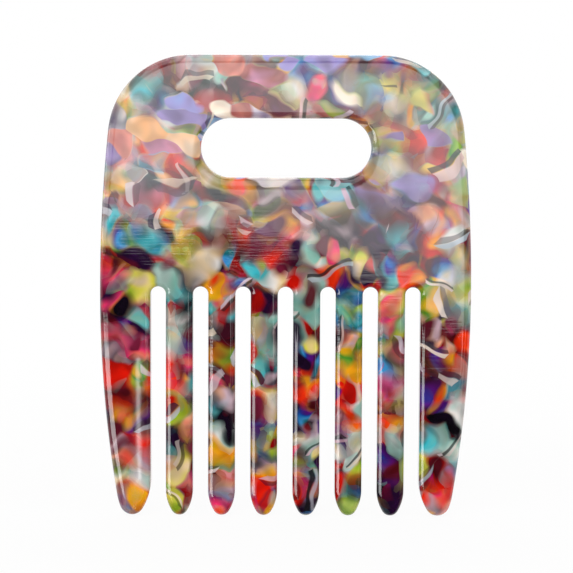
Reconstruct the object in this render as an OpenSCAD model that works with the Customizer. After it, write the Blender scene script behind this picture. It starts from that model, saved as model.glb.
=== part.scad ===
// Wide-tooth comb with a grip slot, cut from one sheet of cellulose acetate.
// It stands upright: teeth down, front face towards -Y, origin at the middle of the grip slot.
// The handle and the teeth are regions of one sheet and meet face to face at the tooth roots.

/* [Sheet] */
// Thickness of the sheet
sheet_t = 5; // [4:0.1:8]
// Rounding of the edge round the handle and the teeth
edge_r = 1.4; // [0.6:0.1:1.6]

/* [Outline] */
// Height from the back of the comb to the tooth tips
comb_h = 100; // [92:0.5:130]
// Greatest width, at the tooth roots, which all the teeth and gaps share out
comb_w = 80.5; // [70:0.5:96]
// Radius of the two upper corners
corner_r = 18; // [12:0.5:22]
// How far each bowed side comes in between the tooth roots and the middle of the upper corner
shoulder_draw = 1.67; // [0.6:0.01:2.4]
// How far each bowed side comes in between the tooth roots and the end tooth's nose
flank_draw = 3.88; // [2:0.01:4.4]

/* [Grip slot] */
// Length of the slot from end to end
slot_w = 36.7; // [25:0.1:44]
// Height of the slot
slot_h = 12.7; // [8:0.1:15]
// Distance from the back of the comb to the middle of the slot
slot_drop = 20; // [16:0.5:26]
// Rounding of the slot's edge
slot_edge_r = 1.9; // [0.8:0.1:1.9]

/* [Teeth] */
// Length of the gaps between the teeth, from their round tops to the tips
tooth_len = 50; // [35:0.5:54]
// Share of the way from one gap to the next that the gap takes
gap_share = 0.359; // [0.28:0.001:0.42]
// Width of an end tooth at its root, where an inner tooth is 1
end_tooth_share = 1.87; // [1.6:0.01:2.2]

/* [Tooth tips] */
// Radius of the nose of an inner tooth, as a share of the tooth's width
nose_share = 0.33; // [0.3:0.01:0.38]
// Radius of the two curves that narrow an inner tooth to its nose
nose_side_r = 8.8; // [6:0.1:14]
// Radius of the nose of an end tooth, as a share of an inner tooth's width
end_nose_share = 0.466; // [0.4:0.001:0.5]
// Radius of the curve that narrows an end tooth towards the gap
end_inner_r = 12; // [8:0.5:18]
// Radius of the curve that narrows an end tooth on its outer side
end_outer_r = 14; // [10:0.5:24]
// How far that outer curve draws the nose in from the bow of the side
end_draw = 0.2; // [0.1:0.05:0.5]

/* [Hidden] */
$fn = 96;
// Facets round a full circle of the long side arcs
long_fn = 1440;
inner_teeth = 6;
gaps = inner_teeth + 1;

// The width shared out: each inner tooth with a gap, one gap more, and the two end teeth
pitch = comb_w / (inner_teeth + gap_share + 2 * end_tooth_share * (1 - gap_share));
gap_w = pitch * gap_share;
tooth_w = pitch - gap_w;
nose_r = tooth_w * nose_share;
end_nose_r = tooth_w * end_nose_share;

// Strips with a rounded edge follow the outline, and plates fill what they go round. Past its
// rounding each strip is flat for a little way, and the plates begin inside that way.
strip_flat = 1.4;
flat_share = 0.25;
edge_strip = edge_r + strip_flat;
edge_inset = edge_r + strip_flat * flat_share;
slot_strip = slot_edge_r + strip_flat;
slot_inset = slot_edge_r + strip_flat * flat_share;
end_strip = end_nose_r + edge_r;

// Where two stretches of the outline touch, the tighter one starts a little way inside the other
// and is a hair wider, so that they cross and make one solid with no crack between them.
lap = 6;
swell = 0.01;
// How far the roundings reach past the faces that they lead into, which cut them off
overshoot = 0.02;

// Heights seen from the front, with the middle of the slot at zero
top_z = slot_drop;
tip_z = top_z - comb_h;
root_z = tip_z + tooth_len - gap_w / 2;
corner_z = top_z - corner_r;

gap_strip_share = 0.9;
half_t = sheet_t / 2;
half_w = comb_w / 2;
// Distance from the middle of the comb to an end tooth's inner edge
inner_side = (gaps * pitch - tooth_w) / 2;
slot_end_x = (slot_w - slot_h) / 2;
slot_end_r = slot_h / 2;

function direction(from, to) = atan2(to[1] - from[1], to[0] - from[0]);
function along(from, angle, distance) = from + distance * [cos(angle), sin(angle)];
function drop(long, short) = sqrt(long * long - short * short);
// Radius of a bow that starts straight and comes in by draw over its height
function bow(height, draw) = (height * height + draw * draw) / (2 * draw);

// The point at the first distance from a and the second from b, on the left of the way from a to b
function meeting(a, from_a, b, from_b) =
    let (apart = norm(b - a),
         run = (apart * apart + from_a * from_a - from_b * from_b) / (2 * apart),
         way = direction(a, b))
    along(along(a, way, run), way + 90, drop(from_a, run));

function gap_x(number) = (number - (gaps + 1) / 2) * pitch;
function tooth_x(number) = gap_x(number) + pitch / 2;

// Left side of the outline. Each arc touches the next one, so an arc ends in the direction that
// leads from its centre to the next centre.
shoulder_r = bow(corner_z - root_z, shoulder_draw);
shoulder_centre = [shoulder_r - half_w, root_z];
corner_x = shoulder_centre[0] - drop(shoulder_r - corner_r, corner_z - root_z);
corner_centre = [corner_x, corner_z];
shoulder_turn = 180 + direction(corner_centre, shoulder_centre);
end_nose_z = tip_z + end_nose_r;
flank_r = bow(root_z - end_nose_z, flank_draw);
flank_centre = [flank_r - half_w, root_z];

// Tip of an inner tooth, with the tooth's middle at x = 0
nose_centre = [0, tip_z + nose_r];
nose_side_x = nose_side_r - tooth_w / 2;
nose_side_z = nose_centre[1] + drop(nose_side_r - nose_r, nose_side_x);
nose_side_centre = [nose_side_x, nose_side_z];
nose_turn = 180 + direction(nose_centre, nose_side_centre);

// Tip of the left end tooth
end_nose_x = flank_centre[0] - drop(flank_r - end_nose_r - end_draw, end_nose_z - root_z);
end_nose_centre = [end_nose_x, end_nose_z];
end_outer_centre = meeting(end_nose_centre, end_outer_r - end_nose_r, flank_centre, flank_r - end_outer_r);
end_inner_x = -inner_side - end_inner_r;
end_inner_z = end_nose_z + drop(end_inner_r - end_nose_r, end_nose_x - end_inner_x);
end_inner_centre = [end_inner_x, end_inner_z];
flank_turn = 180 + direction(end_outer_centre, flank_centre);
end_outer_turn = 180 + direction(end_nose_centre, end_outer_centre);
end_inner_turn = 360 + direction(end_inner_centre, end_nose_centre);

// The comb is drawn flat, with the sheet's thickness along Z, and then stood upright
module upright() {
    rotate([90, 0, 0])
        children();
}

module on_both_sides() {
    children();
    mirror([1, 0, 0])
        children();
}

// Cross-section of a strip, from x = 0, where it meets a plate, to its rounded edge
module strip_section(width, rounding) {
    inset = rounding - overshoot;
    intersection() {
        translate([0, -half_t])
            square([width, sheet_t]);
        union() {
            translate([0, -half_t])
                square([width - inset, sheet_t]);
            translate([0, inset - half_t])
                square([width, sheet_t - 2 * inset]);
            for (side = [-1, 1])
                translate([width - inset, side * (half_t - inset)])
                    circle(rounding);
        }
    }
}

// The same section with its rounded edge at x = 0
module inward_section(width, rounding) {
    translate([width, 0])
        mirror([1, 0])
            strip_section(width, rounding);
}

// Strip along a straight edge. The material is on the left of the way from start to end.
module straight_strip(start, end, width, rounding) {
    translate([start[0], start[1], 0])
        rotate([0, 0, direction(start, end)])
            rotate([90, 0, 90])
                linear_extrude(norm(end - start))
                    inward_section(width, rounding);
}

// Strip along an arc that the material fills, anticlockwise from one angle to the other
module outer_strip(centre, radius, from, to, width, rounding) {
    translate([centre[0], centre[1], 0])
        rotate_extrude(angle = to - from, start = from)
            translate([radius - width, 0])
                strip_section(width, rounding);
}

// Strip along an arc of a hole, with the material outside the arc
module hole_strip(centre, radius, from, to, width, rounding) {
    translate([centre[0], centre[1], 0])
        rotate_extrude(angle = to - from, start = from)
            translate([radius, 0])
                inward_section(width, rounding);
}

module plate() {
    translate([0, 0, -half_t])
        linear_extrude(sheet_t)
            children();
}

// Outline of the slot, grown all round
module slot_outline(growth) {
    translate([-slot_end_x, -slot_end_r - growth])
        square([2 * slot_end_x, slot_h + 2 * growth]);
    for (side = [-1, 1])
        translate([side * slot_end_x, 0])
            circle(slot_end_r + growth);
}

module handle_plate() {
    top = [corner_x, top_z - edge_inset];
    side = along(corner_centre, shoulder_turn, corner_r - edge_inset);
    root = [edge_inset - half_w, root_z];
    plate()
        difference() {
            polygon([top, side, root, [-root[0], root[1]], [-side[0], side[1]], [-top[0], top[1]]]);
            slot_outline(slot_inset);
            for (number = [1 : gaps])
                translate([gap_x(number), root_z])
                    circle(gap_w / 2 + edge_inset);
        }
}

module handle_outline() {
    straight_strip([-corner_x, top_z], [corner_x, top_z], edge_strip, edge_r);
    on_both_sides() {
        outer_strip(corner_centre, corner_r + swell, 90 - lap, shoulder_turn + lap, corner_r / 2, edge_r);
        outer_strip(shoulder_centre, shoulder_r, shoulder_turn, 180, edge_strip, edge_r, $fn = long_fn);
    }
}

module slot_edge() {
    for (side = [0, 180])
        rotate([0, 0, side]) {
            straight_strip([-slot_end_x, slot_end_r], [slot_end_x, slot_end_r], slot_strip, slot_edge_r);
            hole_strip([slot_end_x, 0], slot_end_r, -90, 90, slot_strip, slot_edge_r);
        }
}

module gap_tops() {
    for (number = [1 : gaps])
        hole_strip([gap_x(number), root_z], gap_w / 2, 0, 180, tooth_w / 2 * gap_strip_share, edge_r);
}

module handle() {
    color("thistle")
        upright() {
            handle_plate();
            handle_outline();
            slot_edge();
            gap_tops();
        }
}

// One side of an inner tooth, down to its nose
module tooth_side() {
    straight_strip([-tooth_w / 2, root_z], [-tooth_w / 2, nose_side_z], tooth_w / 2, edge_r);
    outer_strip(nose_side_centre, nose_side_r + swell, 180 - lap, nose_turn, tooth_w / 2, edge_r);
}

module nose(centre, radius) {
    full = radius + 2 * swell;
    outer_strip(centre, full, 0, 360, full, edge_r);
}

module inner_tooth(number) {
    upright()
        translate([tooth_x(number), 0, 0]) {
            on_both_sides()
                tooth_side();
            nose(nose_centre, nose_r);
        }
}

// The left end tooth, drawn flat
module end_tooth() {
    root = [edge_inset - half_w, root_z];
    outer = along(flank_centre, flank_turn, flank_r - edge_inset);
    inner = [-inner_side - edge_inset, end_inner_z];
    plate()
        polygon([root, outer, inner, [inner[0], root_z]]);
    outer_strip(flank_centre, flank_r, 180, flank_turn, end_strip, edge_r, $fn = long_fn);
    outer_strip(end_outer_centre, end_outer_r + swell, flank_turn - lap, end_outer_turn, end_strip, edge_r);
    nose(end_nose_centre, end_nose_r);
    outer_strip(end_inner_centre, end_inner_r + swell, end_inner_turn, 360 + lap, end_strip, edge_r);
    straight_strip([-inner_side, end_inner_z], [-inner_side, root_z], end_strip, edge_r);
}

module end_tooth_left() {
    color("mediumturquoise")
        upright()
            end_tooth();
}

module end_tooth_right() {
    color("indianred")
        upright()
            mirror([1, 0, 0])
                end_tooth();
}

module inner_tooth_1() { color("rebeccapurple") inner_tooth(1); }
module inner_tooth_2() { color("coral") inner_tooth(2); }
module inner_tooth_3() { color("crimson") inner_tooth(3); }
module inner_tooth_4() { color("mediumaquamarine") inner_tooth(4); }
module inner_tooth_5() { color("orange") inner_tooth(5); }
module inner_tooth_6() { color("steelblue") inner_tooth(6); }

handle();
end_tooth_left();
inner_tooth_1();
inner_tooth_2();
inner_tooth_3();
inner_tooth_4();
inner_tooth_5();
inner_tooth_6();
end_tooth_right();
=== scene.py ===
"""Wide-tooth comb with a grip slot, cut from one sheet of confetti acetate and polished.

The comb is one unbroken mesh. Its edge is a rounding profile carried along the outline and the slot,
and flat faces close it. The coloured chips are a solid pattern that runs through the sheet.
"""

import math

import bpy
import numpy as np
from mathutils import Matrix, Vector
from mathutils.geometry import tessellate_polygon


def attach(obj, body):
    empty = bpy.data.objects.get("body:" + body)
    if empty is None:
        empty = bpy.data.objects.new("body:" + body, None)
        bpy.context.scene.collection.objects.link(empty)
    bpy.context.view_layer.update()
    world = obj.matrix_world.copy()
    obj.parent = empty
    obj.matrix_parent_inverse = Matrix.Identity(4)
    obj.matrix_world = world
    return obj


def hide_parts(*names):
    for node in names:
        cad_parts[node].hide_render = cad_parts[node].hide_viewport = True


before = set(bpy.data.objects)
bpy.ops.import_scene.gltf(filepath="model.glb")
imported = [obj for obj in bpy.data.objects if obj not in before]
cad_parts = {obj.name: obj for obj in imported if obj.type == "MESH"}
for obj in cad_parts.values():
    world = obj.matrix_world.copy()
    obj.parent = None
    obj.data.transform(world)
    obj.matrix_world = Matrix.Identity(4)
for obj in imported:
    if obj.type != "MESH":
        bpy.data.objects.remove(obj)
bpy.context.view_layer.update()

MM = 0.001

# Sizes of the comb in millimetres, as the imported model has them
SHEET_T = 5.0
COMB_H = 100.0
COMB_W = 80.5
CORNER_R = 18.0
SHOULDER_DRAW = 1.67
FLANK_DRAW = 3.88
SLOT_W = 36.7
SLOT_H = 12.7
SLOT_DROP = 20.0
TOOTH_LEN = 50.0
INNER_TEETH = 6
GAPS = INNER_TEETH + 1
GAP_SHARE = 0.359
END_TOOTH_SHARE = 1.87
NOSE_SHARE = 0.33
NOSE_SIDE_R = 8.8
END_NOSE_SHARE = 0.466
END_INNER_R = 12.0
END_OUTER_R = 14.0
END_DRAW = 0.2

PITCH = COMB_W / (INNER_TEETH + GAP_SHARE + 2 * END_TOOTH_SHARE * (1 - GAP_SHARE))
GAP_W = PITCH * GAP_SHARE
TOOTH_W = PITCH - GAP_W
NOSE_R = TOOTH_W * NOSE_SHARE
END_NOSE_R = TOOTH_W * END_NOSE_SHARE
TOP_Z = SLOT_DROP
TIP_Z = TOP_Z - COMB_H
ROOT_Z = TIP_Z + TOOTH_LEN - GAP_W / 2
HALF_T = SHEET_T / 2
HALF_W = COMB_W / 2
INNER_SIDE = (GAPS * PITCH - TOOTH_W) / 2

# How far the rounding of each edge reaches over the face
OUTER_ROUND = 1.9
GAP_ROUND = 1.15
NOSE_ROUND = GAP_ROUND * 1.15
SLOT_TOP_ROUND = 1.45
SLOT_FOOT_ROUND = 2.9
# Share of half the thickness that a rounding takes up at most
DEEPEST_ROUND = 0.94

# Length of a step along the outline, the largest turn of a step in degrees, and the fewest points of
# an arc
STEP = 0.35
TURN_STEP = 5
ARC_POINTS = 5
# Points across each of the two quarter ellipses of the edge
PROFILE_STEPS = 9


# ---- outline ----

def heading(start, end):
    """Angle in degrees of the way from start to end."""
    return math.degrees(math.atan2(end[1] - start[1], end[0] - start[0]))


def drop(long_side, short_side):
    """The other short side of a right-angled triangle."""
    return math.sqrt(long_side ** 2 - short_side ** 2)


def bow(height, draw):
    """Radius of an arc that starts straight and comes in by draw over its height."""
    return (height ** 2 + draw ** 2) / (2 * draw)


def meeting(a, from_a, b, from_b):
    """The point at two given distances from a and b, on the left of the way from a to b."""
    a, b = np.array(a), np.array(b)
    apart = np.linalg.norm(b - a)
    run = (apart ** 2 + from_a ** 2 - from_b ** 2) / (2 * apart)
    way = (b - a) / apart
    return a + way * run + np.array([-way[1], way[0]]) * drop(from_a, run)


def line(start, end, rounding):
    """Points evenly spaced from start to end, with the outward side on the right of the way."""
    start, end = np.array(start, float), np.array(end, float)
    length = np.linalg.norm(end - start)
    share = np.linspace(0, 1, max(2, int(length / STEP) + 1))[:, None]
    way = (end - start) / length
    out = np.tile([way[1], -way[0]], (len(share), 1))
    return np.hstack([start + (end - start) * share, out, ramp(rounding, share)])


def arc(centre, radius, start, end, rounding, hollow=False):
    """Points on a circle from one angle to the other. The outward side is away from the centre, or
    towards it where the arc bounds a hollow."""
    count = max(ARC_POINTS, int(abs(math.radians(end - start)) * radius / STEP) + 1,
                int(abs(end - start) / TURN_STEP) + 1)
    share = np.linspace(0, 1, count)[:, None]
    turn = np.radians(start + (end - start) * share)
    radial = np.hstack([np.cos(turn), np.sin(turn)])
    out = -radial if hollow else radial
    return np.hstack([np.array(centre) + radius * radial, out, ramp(rounding, share)])


def ramp(rounding, share):
    """A rounding that stays the same, or runs smoothly from a first value to a second."""
    first, last = rounding if isinstance(rounding, tuple) else (rounding, rounding)
    smooth = share * share * (3 - 2 * share)
    return first + (last - first) * smooth


def inner_tooth_path(middle):
    """Outline of an inner tooth from its left root round the nose to its right root."""
    side_x = NOSE_SIDE_R - TOOTH_W / 2
    nose = (middle, TIP_Z + NOSE_R)
    side_z = nose[1] + drop(NOSE_SIDE_R - NOSE_R, side_x)
    turn = 180 + heading(nose, (middle + side_x, side_z))
    left, right = middle - TOOTH_W / 2, middle + TOOTH_W / 2
    return [
        line((left, ROOT_Z), (left, side_z), GAP_ROUND),
        arc((middle + side_x, side_z), NOSE_SIDE_R, 180, turn, (GAP_ROUND, NOSE_ROUND)),
        arc(nose, NOSE_R, turn, 540 - turn, NOSE_ROUND),
        arc((middle - side_x, side_z), NOSE_SIDE_R, 540 - turn, 360, (NOSE_ROUND, GAP_ROUND)),
        line((right, side_z), (right, ROOT_Z), GAP_ROUND),
    ]


def left_half():
    """Outline from the middle of the back, anticlockwise, to the top of the middle gap."""
    corner_z = TOP_Z - CORNER_R
    shoulder_r = bow(corner_z - ROOT_Z, SHOULDER_DRAW)
    shoulder = (shoulder_r - HALF_W, ROOT_Z)
    corner = (shoulder[0] - drop(shoulder_r - CORNER_R, corner_z - ROOT_Z), corner_z)
    shoulder_turn = 180 + heading(corner, shoulder)
    nose_z = TIP_Z + END_NOSE_R
    flank_r = bow(ROOT_Z - nose_z, FLANK_DRAW)
    flank = (flank_r - HALF_W, ROOT_Z)
    nose = (flank[0] - drop(flank_r - END_NOSE_R - END_DRAW, nose_z - ROOT_Z), nose_z)
    outer = meeting(nose, END_OUTER_R - END_NOSE_R, flank, flank_r - END_OUTER_R)
    inner_x = -INNER_SIDE - END_INNER_R
    inner = (inner_x, nose_z + drop(END_INNER_R - END_NOSE_R, nose[0] - inner_x))
    flank_turn = 180 + heading(outer, flank)
    outer_turn = 180 + heading(nose, outer)
    inner_turn = 360 + heading(inner, nose)
    path = [
        line((0, TOP_Z), (corner[0], TOP_Z), OUTER_ROUND),
        arc(corner, CORNER_R, 90, shoulder_turn, OUTER_ROUND),
        arc(shoulder, shoulder_r, shoulder_turn, 180, OUTER_ROUND),
        arc(flank, flank_r, 180, flank_turn, OUTER_ROUND),
        arc(outer, END_OUTER_R, flank_turn, outer_turn, OUTER_ROUND),
        arc(nose, END_NOSE_R, outer_turn, inner_turn, (OUTER_ROUND, GAP_ROUND)),
        arc(inner, END_INNER_R, inner_turn, 360, GAP_ROUND),
        line((-INNER_SIDE, inner[1]), (-INNER_SIDE, ROOT_Z), GAP_ROUND),
    ]
    for number in range(1, (GAPS + 1) // 2):
        gap_x = (number - (GAPS + 1) / 2) * PITCH
        path.append(arc((gap_x, ROOT_Z), GAP_W / 2, 180, 0, GAP_ROUND, hollow=True))
        path += inner_tooth_path(gap_x + PITCH / 2)
    path.append(arc((0, ROOT_Z), GAP_W / 2, 180, 90, GAP_ROUND, hollow=True))
    return path


def joined(path):
    """One array of the stretches, each without the point that it shares with the next."""
    return np.vstack([stretch[:-1] for stretch in path])


def comb_outline():
    """The whole closed outline: the left half, then its mirror image taken backwards. Columns are
    x, z, the outward direction and the rounding."""
    path = left_half()
    left = np.vstack([joined(path), path[-1][-1:]])
    right = (left * [-1, 1, -1, 1, 1])[::-1]
    return np.vstack([left, right[1:-1]])


def slot_outline():
    """The grip slot, clockwise, with its rounding wider along the foot than along the top."""
    end_x, end_r = (SLOT_W - SLOT_H) / 2, SLOT_H / 2
    top, foot = SLOT_TOP_ROUND, SLOT_FOOT_ROUND
    return joined([
        line((-end_x, end_r), (end_x, end_r), top),
        arc((end_x, 0), end_r, 90, -90, (top, foot), hollow=True),
        line((end_x, -end_r), (-end_x, -end_r), foot),
        arc((-end_x, 0), end_r, 270, 90, (foot, top), hollow=True),
    ])


# ---- comb mesh ----

def edge_surface(path):
    """The rounded edge carried along a closed path. Across it the profile runs from the front face
    through a quarter ellipse to the wall and through another to the back face. Returns the grid of
    points and of normals, one row for each point of the path."""
    turn = np.radians(np.linspace(0, 90, PROFILE_STEPS))
    spot, out, reach = path[:, None, 0:2], path[:, None, 2:4], path[:, None, 4:5]
    deep = np.minimum(reach, HALF_T * DEEPEST_ROUND)
    sine, cosine = np.sin(turn)[None, :, None], np.cos(turn)[None, :, None]
    flat = spot - out * reach * (1 - sine)
    rise = -HALF_T + deep * (1 - cosine)
    tilt_out, tilt_front = deep * sine, -reach * cosine
    length = np.sqrt(tilt_out ** 2 + tilt_front ** 2)
    normal_flat, normal_y = out * tilt_out / length, tilt_front / length
    points = np.concatenate([flat[..., :1], rise, flat[..., 1:]], axis=2)
    normals = np.concatenate([normal_flat[..., :1], normal_y, normal_flat[..., 1:]], axis=2)
    mirrored = [1, -1, 1]
    return (np.concatenate([points, points[:, ::-1] * mirrored], axis=1),
            np.concatenate([normals, normals[:, ::-1] * mirrored], axis=1))


def strip_faces(rows, columns, first):
    """Four-sided faces of a grid whose rows close on themselves, numbered from the first point."""
    row = np.arange(rows)[:, None]
    column = np.arange(columns - 1)[None, :]
    here = first + row * columns + column
    ahead = first + ((row + 1) % rows) * columns + column
    return np.stack([here, here + 1, ahead + 1, ahead], axis=2).reshape(-1, 4)


def comb_mesh():
    """The edge surfaces of the outline and of the slot. The front face spans their first columns, and
    the back face their last."""
    loops = [comb_outline(), slot_outline()]
    points, normals, quads, rims = [], [], [], []
    first = 0
    for path in loops:
        grid, grid_normals = edge_surface(path)
        rows, columns = grid.shape[:2]
        points.append(grid.reshape(-1, 3))
        normals.append(grid_normals.reshape(-1, 3))
        quads.append(strip_faces(rows, columns, first))
        rims.append((first + np.arange(rows) * columns, columns - 1))
        first += rows * columns
    points, normals = np.vstack(points) * MM, np.vstack(normals)
    rim = np.concatenate([start for start, _ in rims])
    flat_loops = [[Vector((points[i][0], points[i][2], 0)) for i in start] for start, _ in rims]
    cuts = np.array(tessellate_polygon(flat_loops))
    front = rim[cuts]
    back = np.concatenate([start + last for start, last in rims])[cuts]
    a, b, c = (points[front[:, k]] for k in range(3))
    facing = np.cross(b - a, c - a)[:, 1]
    front[facing > 0] = front[facing > 0][:, ::-1]
    back[facing < 0] = back[facing < 0][:, ::-1]
    mesh = bpy.data.meshes.new("comb")
    faces = [*map(tuple, np.vstack(quads)), *map(tuple, front), *map(tuple, back)]
    mesh.from_pydata(points, [], faces)
    mesh.update()
    mesh.shade_smooth()
    mesh.normals_split_custom_set_from_vertices(normals)
    return mesh


comb = bpy.data.objects.new("comb", comb_mesh())
bpy.context.scene.collection.objects.link(comb)


# ---- acetate ----

def paint(code):
    """Linear colour of a screen colour such as c04020."""
    parts = [int(code[k:k + 2], 16) / 255 for k in (0, 2, 4)]
    return tuple(v / 12.92 if v <= 0.04045 else ((v + 0.055) / 1.055) ** 2.4 for v in parts) + (1,)


class Board:
    """Adds nodes to one node tree. Each call returns the new node's output socket."""

    def __init__(self, tree):
        self.tree = tree

    def feed(self, socket, value):
        """Links another node's output to a socket, or sets the socket to a plain value."""
        if isinstance(value, bpy.types.NodeSocket):
            self.tree.links.new(value, socket)
        else:
            socket.default_value = value

    def node(self, kind, **settings):
        made = self.tree.nodes.new(kind)
        for name, value in settings.items():
            setattr(made, name, value)
        return made

    def math(self, operation, *values, clamp=False):
        made = self.node("ShaderNodeMath", operation=operation, use_clamp=clamp)
        for socket, value in zip(made.inputs, values):
            self.feed(socket, value)
        return made.outputs[0]

    def vector(self, operation, *values):
        made = self.node("ShaderNodeVectorMath", operation=operation)
        sockets = [made.inputs[0], made.inputs[3]] if operation == "SCALE" else made.inputs
        for socket, value in zip(sockets, values):
            self.feed(socket, value)
        return made.outputs["Value" if operation in ("DOT_PRODUCT", "LENGTH") else "Vector"]

    def split(self, value):
        made = self.node("ShaderNodeSeparateXYZ")
        self.feed(made.inputs[0], value)
        return made.outputs

    def mix(self, share, first, second):
        made = self.node("ShaderNodeMix", data_type="RGBA")
        for index, value in ((0, share), (6, first), (7, second)):
            self.feed(made.inputs[index], value)
        return made.outputs[2]

    def between(self, share, first, second):
        made = self.node("ShaderNodeMix", data_type="FLOAT")
        for index, value in ((0, share), (2, first), (3, second)):
            self.feed(made.inputs[index], value)
        return made.outputs[0]

    def slope(self, value, low, high):
        """0 at low, 1 at high, and a smooth step between them."""
        made = self.node("ShaderNodeMapRange", interpolation_type="SMOOTHSTEP")
        for index, setting in ((0, value), (1, low), (2, high)):
            self.feed(made.inputs[index], setting)
        return made.outputs[0]

    def cell(self, place, size, feature="F1"):
        """Outputs of a cell pattern, for the nearest cell or the next (F2)."""
        made = self.node("ShaderNodeTexVoronoi", voronoi_dimensions="3D", feature=feature)
        self.feed(made.inputs["Vector"], place)
        self.feed(made.inputs["Scale"], self.math("DIVIDE", 1.0, size))
        return made.outputs

    def noise(self, place, size, detail=1.0):
        """Outputs of a soft noise whose waves are about a size long."""
        made = self.node("ShaderNodeTexNoise", noise_dimensions="3D")
        self.feed(made.inputs["Vector"], place)
        made.inputs["Scale"].default_value = 1 / size
        made.inputs["Detail"].default_value = detail
        made.inputs["Roughness"].default_value = 0.4
        return made.outputs

    def palette(self, value, paints):
        """One of the paints, each with a share of the values from 0 to 1 in line with its weight."""
        made = self.node("ShaderNodeValToRGB")
        scale = made.color_ramp
        scale.interpolation = "LINEAR"
        total, run = sum(weight for _, weight in paints), 0
        for index, (code, weight) in enumerate(paints):
            mark = scale.elements[0] if index == 0 else scale.elements.new(run / total)
            mark.position, mark.color = run / total, paint(code)
            run += weight
        scale.elements[-1].color = paint(paints[0][0])
        self.feed(made.inputs[0], value)
        return made.outputs[0]


# Paints in a ring of related colours, each with its weight, so that a drift along the ring stays
# inside a family of tones
PAINTS = [("060508", 25), ("2a0834", 4), ("5a1284", 2), ("2a2c8c", 0.5), ("0a50b0", 2.2),
          ("3f96cc", 2), ("0f6a70", 2.5), ("3fb8c4", 6.5), ("7fb8a8", 7), ("b4c8c0", 3),
          ("e6e0dc", 3), ("e2c8a0", 3), ("d4c850", 4), ("9ab82a", 3), ("3f8a2a", 2),
          ("cca41c", 3.5), ("f8a814", 2), ("d87828", 1.6), ("f03a0a", 6.5), ("de1806", 11),
          ("9a0806", 9), ("4a060c", 11), ("741c38", 2.5), ("b83c64", 1.5), ("ee3470", 2.5),
          ("e06a58", 4), ("e0a480", 3), ("ccacb8", 4), ("8a7a80", 1), ("3c2c38", 2.5)]
# Paler paints that the chips of the handle add
PALES = [("8cccd0", 8), ("80a4dc", 6), ("9c88c8", 6), ("6c4c80", 3), ("dccfd8", 5), ("f8ecdc", 5),
         ("f0c49c", 6), ("e8a45c", 6), ("d4c05c", 6), ("9cb878", 4), ("74bcb0", 4), ("e08878", 5),
         ("a04848", 2.5), ("d488ac", 4), ("3c2c38", 3)]
# Paints of the pale and of the dark sheet of a laminated sliver
PALE_SHEETS = [("d4c0d0", 6), ("e0d0b8", 2), ("d8a8bc", 3), ("9cc0c4", 1)]
DARK_SHEETS = [("0c0b0e", 6), ("3a3238", 2), ("54121c", 2), ("2a1440", 1)]
# Milky tone mixed into the chips of the handle where the reflected veil lies: a painted veil that
# stands in for the washed-out look of that reflection
VEIL_MILK = (0.18, 0.31, 0.28, 1)

# How many times steeper than Soft says the edge of a chip is in a clear patch, and in a hazy one.
# Sizes of those patches and of the drift inside a chip, in millimetres
CLEAR_EDGE, HAZY_EDGE = 2.2, 0.7
HAZE_SIZE, DRIFT_SIZE = 9.0, 4.0
# Thickness from which a chip hides what lies under it
FULL_CHIP = 0.4
# Depths at which chips lie, the deepest first: depth and softness of edges in millimetres, the share
# of chips that show, and the thickness from which one shows
LAYERS = ((3.0, 3.2, 1.1, -1), (1.6, 2.6, 1.1, 0.1), (0.7, 2.0, 0.9, 0.1), (0.0, 1.6, 0.8, 0.0))
# Bends of the pattern: size and detail of the noise, and how far it moves things
BENDS = ((12.0, 1.6, 6.0), (4.5, 0.0, 3.0))
# Slivers: size of the cells, place of the pattern, least half length, and the share of cells with one
SLIVERS = ((11.0, (13, 4, 9), 2.8, 0.35), (13.0, (51, 24, 2), 3.8, 0.35))
# Largest tilt of a sliver in radians, its largest bow, how much longer than the least its half length
# may be, and its least half thickness with what may come on top
SLIVER_TILT = 0.7
SLIVER_BOW = 0.045
SLIVER_LONGER = 1.8
SLIVER_THIN, SLIVER_THICKER = 0.34, 0.36
# The handle's paler chips, softer edges, painted milky veil and painted brightening come in between two
# heights, which wander up and down
CLOUD_FOOT, CLOUD_TOP, CLOUD_WANDER = -9.0, 6.0, 22.0
# Height in millimetres that a bump of one stands for. The streaks and the slow waves of the face are
# shares of it.
BUMP_HEIGHT = 0.02
STREAK_SHARE = 0.6
WAVE_SHARE = 0.35


def effect(name, inputs, outputs, wire):
    """A node group. Inputs and outputs are pairs of a name and a kind of socket, and wire gets the
    board with the group's inputs by name and returns its outputs in order."""
    tree = bpy.data.node_groups.new(name, "ShaderNodeTree")
    for label, kind in inputs:
        tree.interface.new_socket(label, in_out="INPUT", socket_type=kind)
    for label, kind in outputs:
        tree.interface.new_socket(label, in_out="OUTPUT", socket_type=kind)
    board = Board(tree)
    given = board.node("NodeGroupInput").outputs
    results = wire(board, given)
    last = board.node("NodeGroupOutput")
    for socket, result in zip(last.inputs, results):
        board.feed(socket, result)
    return tree


def use(board, tree, **values):
    """Places a node group and returns its outputs. An underscore stands for a space in a name."""
    made = board.node("ShaderNodeGroup", node_tree=tree)
    for label, value in values.items():
        board.feed(made.inputs[label.replace("_", " ")], value)
    return made.outputs


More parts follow.
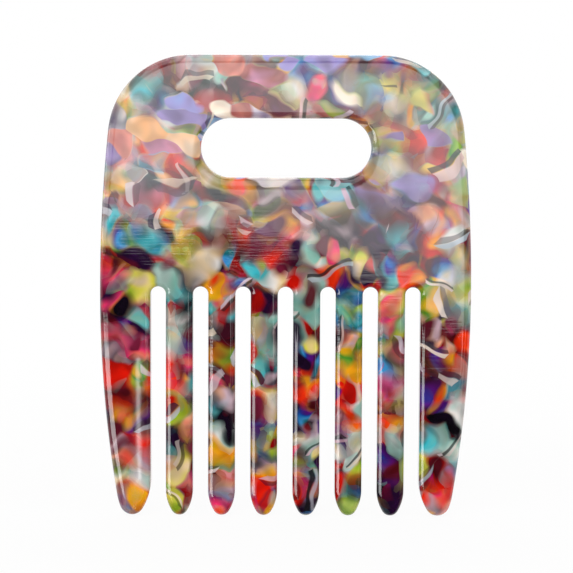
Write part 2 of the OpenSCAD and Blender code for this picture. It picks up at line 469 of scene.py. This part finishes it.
def wire_chips(board, given, paints):
    """Chips are the cells of a solid cell pattern. Each has a paint, drifting a little along the ring
    of paints inside the chip. The edge between two chips fades over Soft millimetres, more slowly in
    hazy patches and where Cloud is high. Hold is how far a chip hides what lies under it. It falls to
    nothing at the distance Ball from the chip's middle, which takes off the corners, and is nothing
    for chips past the share Cover and for those thinner than Thinnest."""
    grain = board.node("ShaderNodeMapping", vector_type="TEXTURE")
    board.feed(grain.inputs["Vector"], given["Place"])
    board.feed(grain.inputs["Location"], given["Start"])
    board.feed(grain.inputs["Rotation"], given["Turn"])
    board.feed(grain.inputs["Scale"], given["Stretch"])
    near = board.cell(grain.outputs[0], given["Size"], "F1")
    following = board.cell(grain.outputs[0], given["Size"], "F2")
    border = board.math("SUBTRACT", following["Distance"], near["Distance"])
    steep = board.math("DIVIDE", board.math("MULTIPLY", given["Size"], 0.5), given["Soft"])
    haze = board.slope(board.noise(given["Place"], HAZE_SIZE, 0.0)["Fac"], 0.58, 0.36)
    crisp = board.between(board.math("MAXIMUM", haze, given["Cloud"]), CLEAR_EDGE, HAZY_EDGE)
    share = board.math("MULTIPLY_ADD", border, board.math("MULTIPLY", steep, crisp), 0.5, clamp=True)
    drift = board.math("MULTIPLY", given["Drift"], board.math("SUBTRACT", board.noise(
        given["Place"], DRIFT_SIZE, 0.0)["Fac"], 0.5))
    shown, there = [], []
    for cell in (near, following):
        look = board.split(cell["Color"])
        shown.append(board.palette(board.math("FRACT", board.math(
            "ADD", board.math("ADD", look[0], 1.0), drift)), paints))
        there.append(look)
    colour = board.mix(share, shown[1], shown[0])
    hold = board.between(share, board.math("LESS_THAN", there[1][1], given["Cover"]),
                         board.math("LESS_THAN", there[0][1], given["Cover"]))
    body = board.between(share, there[1][2], there[0][2])
    ball = board.math("MULTIPLY_ADD", board.math("SUBTRACT", given["Ball"], near["Distance"]),
                      board.math("MULTIPLY", steep, crisp), 0.5, clamp=True)
    thick = board.math("MULTIPLY", ball, board.slope(body, given["Thinnest"], FULL_CHIP))
    return colour, board.math("MULTIPLY", hold, thick)


def wire_sliver(board, given):
    """A laminated pair of thin sheets, pale on dark, seen edge on. Each cell of a coarse cell pattern
    may hold one. It lies in its own direction, bows as the square of the way along it, and its
    thickness falls to nothing at both ends."""
    moved = board.vector("ADD", given["Place"], given["Start"])
    cell = board.cell(moved, given["Size"])
    inside = board.vector("SUBTRACT", moved, cell["Position"])
    look = board.split(cell["Color"])
    extra = board.node("ShaderNodeTexWhiteNoise", noise_dimensions="3D")
    board.feed(extra.inputs["Vector"], cell["Position"])
    more = board.split(extra.outputs["Color"])
    turned = inside
    for kind, angle in (("Y_AXIS", board.math("MULTIPLY", look[0], 2 * math.pi)),
                        ("X_AXIS", board.math("MULTIPLY_ADD", look[1], 2 * SLIVER_TILT, -SLIVER_TILT))):
        turn = board.node("ShaderNodeVectorRotate", rotation_type=kind)
        board.feed(turn.inputs["Vector"], turned)
        board.feed(turn.inputs["Angle"], angle)
        turned = turn.outputs[0]
    run = board.split(turned)
    squared = board.math("MULTIPLY", run[0], run[0])
    bow_share = board.math("MULTIPLY_ADD", look[2], 2 * SLIVER_BOW, -SLIVER_BOW)
    level = board.math("MULTIPLY_ADD", squared, bow_share, run[2])
    half = board.math("MULTIPLY_ADD", more[0], SLIVER_LONGER, given["Reach"])
    left = board.math("SUBTRACT", 1.0, board.math("DIVIDE", board.math("ABSOLUTE", run[0]), half))
    blunt = board.math("MULTIPLY_ADD", look[1], 9.0, 1.5)
    fall = board.math("MULTIPLY", left, blunt, clamp=True)
    fullest = board.math("MULTIPLY_ADD", more[1], SLIVER_THICKER, SLIVER_THIN)
    thick = board.math("MULTIPLY", fullest, fall)
    held = board.math("LESS_THAN", more[2], given["Share"])
    masks = []
    for side in (1.0, -1.0):
        off = board.math("ABSOLUTE", board.math("SUBTRACT", level, board.math("MULTIPLY", thick, side)))
        edge = board.slope(board.math("SUBTRACT", thick, off), -0.06, 0.18)
        strength = board.math("MULTIPLY_ADD", look[1 + (side > 0)], 0.4, 0.55)
        masks.append(board.math("MULTIPLY", edge, board.math("MULTIPLY", held, strength)))
    pale = board.palette(more[0], PALE_SHEETS)
    dark = board.palette(more[1], DARK_SHEETS)
    pale_over = board.mix(masks[0], given["Below"], pale)
    return (board.mix(masks[1], pale_over, dark),)


def wire_streaks(board, given):
    """Height of the fine level scratches that polishing leaves, and the roughness there: noise drawn
    out along X, in some places only."""
    stretched = board.node("ShaderNodeMapping")
    board.feed(stretched.inputs["Vector"], given["Place"])
    stretched.inputs["Scale"].default_value = (0.16, 1.0, 3.0)
    fine = board.noise(stretched.outputs[0], 1.0, 2.0)["Fac"]
    where = board.slope(board.noise(given["Place"], 14.0, 1.0)["Fac"], 0.43, 0.56)
    height = board.math("MULTIPLY", board.math("SUBTRACT", fine, 0.5),
                        board.math("MULTIPLY", where, STREAK_SHARE))
    return height, board.between(where, 0.025, 0.065)


def acetate():
    """Polished confetti acetate: chips seen through each other at four depths, crisper chips and
    laminated slivers near the face, paler chips in the handle with a painted milky veil and a painted
    brightening there that stand in for the reflected veil's light, and scratches in the polish. A
    layer's pattern is read as deep below the face as the layer lies, and is bent by slow noise and
    curled by finer noise."""
    vector, value, colour = "NodeSocketVector", "NodeSocketFloat", "NodeSocketColor"
    choices = [("Place", vector), ("Start", vector), ("Turn", vector), ("Stretch", vector),
               ("Size", value), ("Soft", value), ("Drift", value), ("Cover", value),
               ("Thinnest", value), ("Ball", value), ("Cloud", value)]
    chips, pale_chips = (effect(name, choices, [("Paint", colour), ("Hold", value)],
                                lambda board, given, paints=paints: wire_chips(board, given, paints))
                         for name, paints in (("chips", PAINTS), ("pale chips", PALES)))
    sliver = effect("sliver", [("Below", colour), ("Place", vector), ("Start", vector),
                               ("Size", value), ("Reach", value), ("Share", value)],
                    [("Paint", colour)], wire_sliver)
    streaks = effect("streaks", [("Place", vector)], [("Height", value), ("Rough", value)],
                     wire_streaks)
    material = bpy.data.materials.new("confetti_acetate")
    material.use_nodes = True
    board = Board(material.node_tree)
    gloss = material.node_tree.nodes["Principled BSDF"]
    place = board.vector("SCALE", board.node("ShaderNodeTexCoord").outputs["Object"], 1 / MM)
    outward = board.node("ShaderNodeNewGeometry").outputs["Normal"]
    # Share of the handle: it brings paler chips and softer edges, and carries the painted milky veil
    # and the painted brightening
    wander = board.math("MULTIPLY", board.noise(place, 12.0, 1.0)["Fac"], CLOUD_WANDER)
    cloud_and_veil = board.slope(board.math("ADD", board.split(place)[2], wander), CLOUD_FOOT, CLOUD_TOP)
    look = deep = None
    for depth, soft, cover, thinnest in LAYERS:
        spot = bent = board.vector("SUBTRACT", place, board.vector("SCALE", outward, depth))
        for size, detail, reach in BENDS:
            push = board.vector("SUBTRACT", board.noise(spot, size, detail)["Color"], (0.5, 0.5, 0.5))
            bent = board.vector("ADD", bent, board.vector("SCALE", push, reach))
        layer = use(board, chips, Place=bent, Start=(25, 47, 13), Turn=(0, 0.6, 0),
                    Stretch=(1.25, 1, 0.8), Size=5.5, Soft=soft, Drift=0.12, Cover=cover,
                    Thinnest=thinnest, Ball=0.62, Cloud=cloud_and_veil)
        look = layer["Paint"] if look is None else board.mix(layer["Hold"], look, layer["Paint"])
        deep = deep or look
        if depth == 0:
            wide = use(board, chips, Place=bent, Start=(11, 82, 35), Turn=(0.3, -0.9, 0),
                       Stretch=(1.3, 1, 0.8), Size=5.8, Soft=soft, Drift=0.1, Cover=0.4,
                       Thinnest=0.0, Ball=0.6, Cloud=cloud_and_veil)
            look = board.mix(wide["Hold"], look, wide["Paint"])
    crisp = use(board, chips, Place=bent, Start=(3, 2, 71), Turn=(0, 1.9, 0), Stretch=(1.3, 1, 0.8),
                Size=4.2, Soft=0.9, Drift=0.08, Cover=0.25, Thinnest=0.0, Ball=0.58, Cloud=0.0)
    look = board.mix(crisp["Hold"], look, crisp["Paint"])
    pale = use(board, pale_chips, Place=bent, Start=(3, 82, 51), Turn=(0.2, 0.4, 0),
               Stretch=(1.3, 1, 0.8), Size=5.6, Soft=0.45, Drift=0.12, Cover=0.75, Thinnest=0.0,
               Ball=0.7, Cloud=0.1)
    look = board.mix(board.math("MULTIPLY", pale["Hold"], cloud_and_veil), look, pale["Paint"])
    for size, start, reach, part in SLIVERS:
        look = use(board, sliver, Below=look, Place=bent, Start=start, Size=size, Reach=reach,
                   Share=part)["Paint"]
    # Painted veil: a milky tone mixed into the handle, standing in for the washed-out look of the
    # reflected veil there
    painted_veil_milk = board.mix(0.7, deep, VEIL_MILK)
    look = board.mix(board.math("MULTIPLY", cloud_and_veil, 0.17), look, painted_veil_milk)
    glow = board.slope(board.noise(bent, 3.5, 0.0)["Fac"], 0.3, 0.7)
    # Painted brightening: the handle's colour is raised a little, standing in for the reflected veil's
    # light
    painted_veil_lift = board.math("MULTIPLY_ADD", cloud_and_veil, 0.14, 0.76)
    look = board.vector("SCALE", look, board.math("MULTIPLY_ADD", glow, 0.34, painted_veil_lift))
    board.feed(gloss.inputs["Base Color"], look)
    polish = use(board, streaks, Place=place)
    board.feed(gloss.inputs["Roughness"], polish["Rough"])
    gloss.inputs["IOR"].default_value = 1.48
    gloss.inputs["Subsurface Weight"].default_value = 0.4
    gloss.inputs["Subsurface Radius"].default_value = (1.0, 0.8, 0.7)
    gloss.inputs["Subsurface Scale"].default_value = 2.0 * MM
    bump = board.node("ShaderNodeBump")
    bump.inputs["Strength"].default_value = 1.0
    bump.inputs["Distance"].default_value = BUMP_HEIGHT * MM
    wave = board.math("MULTIPLY", board.noise(place, 13.0, 0.0)["Fac"], WAVE_SHARE)
    board.feed(bump.inputs["Height"], board.math("ADD", polish["Height"], wave))
    board.feed(gloss.inputs["Normal"], bump.outputs[0])
    return material


comb.data.materials.append(acetate())
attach(comb, "root")
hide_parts("handle", "end_tooth_left", "end_tooth_right",
            *(f"inner_tooth_{number}" for number in range(1, INNER_TEETH + 1)))


# ---- studio ----

# Point of the front face that the camera looks at, the width that the picture shows there and the
# camera's distance, in metres. The camera stands straight in front, and its rise and roll are in
# degrees.
TARGET = Vector((0.0002, -0.0025, -0.0298))
FRAME_WIDTH = 0.1237
LENS_DISTANCE = 0.45
LENS_RISE = 4.8
LENS_ROLL = 0.25
SENSOR_MM = 36.0
# How far in front of the comb the lit screen hangs
SCREEN_DISTANCE = 0.6
# Strength of the surroundings as soft light, and as reflections of what is before and behind the comb
ROOM_LIGHT = 0.55
MIRRORED_FRONT, MIRRORED_BACK = 0.04, 1.0
# Half the width of the floor, and how far below the tips it lies
FLOOR_REACH = 3.0
FLOOR_DROP = 0.0001
# The camera sees the floor as plain white, which covers this share of the comb's shadow up to the near
# distance, and all of it from the far distance on
SHADOW_COVER = 0.94
SHADOW_NEAR, SHADOW_FAR = 0.04, 0.35


def toward(azimuth, elevation):
    """Unit direction from the comb: azimuth from the front face towards the right, elevation up."""
    a, e = math.radians(azimuth), math.radians(elevation)
    return Vector((math.sin(a) * math.cos(e), -math.cos(a) * math.cos(e), math.sin(e)))


def aim(thing, spot, target, roll=0.0):
    """Puts a lamp or the camera at a spot and points it at the target, rolled by some degrees."""
    turn = (target - spot).to_track_quat("-Z", "Y")
    thing.matrix_world = Matrix.Translation(spot) @ turn.to_matrix().to_4x4() @ Matrix.Rotation(
        math.radians(roll), 4, "Z")


def lamp(name, azimuth, elevation, distance, width, height, radiance, seen):
    """Rectangular lamp turned to the target, as bright as its radiance says. Seen says whether it
    gives soft light, shows in reflections, or both."""
    data = bpy.data.lights.new(name, "AREA")
    data.shape = "RECTANGLE"
    data.size, data.size_y = width, height
    data.energy = radiance * math.pi * width * height
    thing = bpy.data.objects.new(name, data)
    bpy.context.scene.collection.objects.link(thing)
    aim(thing, TARGET + toward(azimuth, elevation) * distance, TARGET)
    thing.visible_camera = False
    thing.visible_diffuse = "diffuse" in seen
    thing.visible_glossy = "gloss" in seen


def screen(name, corners, radiance):
    """A flat lamp of any outline, given by its corners' x and z in metres. It hangs upright in front
    of the comb and shows only in reflections."""
    mesh = bpy.data.meshes.new(name)
    plane_y = TARGET.y - SCREEN_DISTANCE
    mesh.from_pydata([(x, plane_y, z) for x, z in corners], [], [tuple(range(len(corners)))])
    thing = bpy.data.objects.new(name, mesh)
    bpy.context.scene.collection.objects.link(thing)
    material = bpy.data.materials.new(name)
    material.use_nodes = True
    board = Board(material.node_tree)
    shine = board.node("ShaderNodeEmission")
    shine.inputs["Strength"].default_value = radiance
    board.feed(material.node_tree.nodes["Material Output"].inputs["Surface"], shine.outputs[0])
    mesh.materials.append(material)
    thing.visible_camera = thing.visible_diffuse = thing.visible_shadow = False


camera_data = bpy.data.cameras.new("camera")
camera_data.sensor_width = SENSOR_MM
camera_data.lens = camera_data.sensor_width * LENS_DISTANCE / FRAME_WIDTH
camera = bpy.data.objects.new("camera", camera_data)
bpy.context.scene.collection.objects.link(camera)
aim(camera, TARGET + toward(0, LENS_RISE) * LENS_DISTANCE, TARGET, LENS_ROLL)
bpy.context.scene.camera = camera

lamp("soft_front", -25, 30, 0.9, 0.8, 0.6, 2.2, "diffuse")
lamp("soft_right", 60, 25, 0.9, 0.5, 0.6, 1.2, "diffuse")
lamp("soft_back", 180, 35, 0.9, 0.9, 0.6, 1.6, "diffuse gloss")
screen("veil_screen", [(-0.25, 0.115), (-0.25, -0.044), (-0.096, -0.0475), (-0.043, -0.0495),
                       (0.007, -0.0566), (0.035, -0.0744), (0.078, -0.0946), (0.25, -0.16),
                       (0.25, 0.028)], 3.5)
lamp("veil_side", -75, 5, 0.7, 1.2, 0.16, 3.5, "gloss")
lamp("overhead_panel", 0, 77, 0.6, 0.9, 0.95, 2.2, "gloss")
lamp("left_panel", -44, -13.2, 0.6, 0.68, 0.12, 8.0, "gloss")
lamp("thin_strip", -7.2, -12.4, 0.6, 0.0018, 0.088, 10.0, "gloss")
lamp("right_strip", 54, -9.5, 0.6, 0.05, 0.10, 3.0, "gloss")

world = bpy.data.worlds.new("studio")
bpy.context.scene.world = world
world.use_nodes = True
sky = Board(world.node_tree)
ambient = world.node_tree.nodes["Background"]
ambient.inputs["Color"].default_value = (1, 1, 1, 1)
rays = sky.node("ShaderNodeLightPath").outputs
behind = sky.split(sky.node("ShaderNodeTexCoord").outputs["Object"])[1]
mirrored = sky.between(sky.slope(behind, -0.3, 0.25), MIRRORED_FRONT, MIRRORED_BACK)
level = sky.between(rays["Is Glossy Ray"], ROOM_LIGHT, mirrored)
sky.feed(ambient.inputs["Strength"], sky.between(rays["Is Camera Ray"], level, 1.0))

floor_mesh = bpy.data.meshes.new("floor")
floor_mesh.from_pydata([(x * FLOOR_REACH, y * FLOOR_REACH, 0)
                        for x, y in ((-1, -1), (1, -1), (1, 1), (-1, 1))], [], [(0, 1, 2, 3)])
floor = bpy.data.objects.new("floor", floor_mesh)
floor.location.z = TIP_Z * MM - FLOOR_DROP
bpy.context.scene.collection.objects.link(floor)
floor.visible_glossy = False
floor_material = bpy.data.materials.new("pale_floor")
floor_material.use_nodes = True
ground = Board(floor_material.node_tree)
dull = floor_material.node_tree.nodes["Principled BSDF"]
dull.inputs["Base Color"].default_value = (0.9, 0.9, 0.9, 1)
dull.inputs["Roughness"].default_value = 1.0
dull.inputs["Specular IOR Level"].default_value = 0.0
glow = ground.node("ShaderNodeEmission")
glow.inputs["Strength"].default_value = 1.0
blend = ground.node("ShaderNodeMixShader")
away = ground.vector("LENGTH", ground.node("ShaderNodeTexCoord").outputs["Object"])
cover = ground.between(ground.slope(away, SHADOW_NEAR, SHADOW_FAR), SHADOW_COVER, 1.0)
camera_ray = ground.node("ShaderNodeLightPath").outputs["Is Camera Ray"]
ground.feed(blend.inputs[0], ground.math("MULTIPLY", camera_ray, cover))
ground.feed(blend.inputs[1], dull.outputs[0])
ground.feed(blend.inputs[2], glow.outputs[0])
ground.feed(floor_material.node_tree.nodes["Material Output"].inputs["Surface"], blend.outputs[0])
floor_mesh.materials.append(floor_material)

bpy.context.scene.view_settings.view_transform = "Standard"
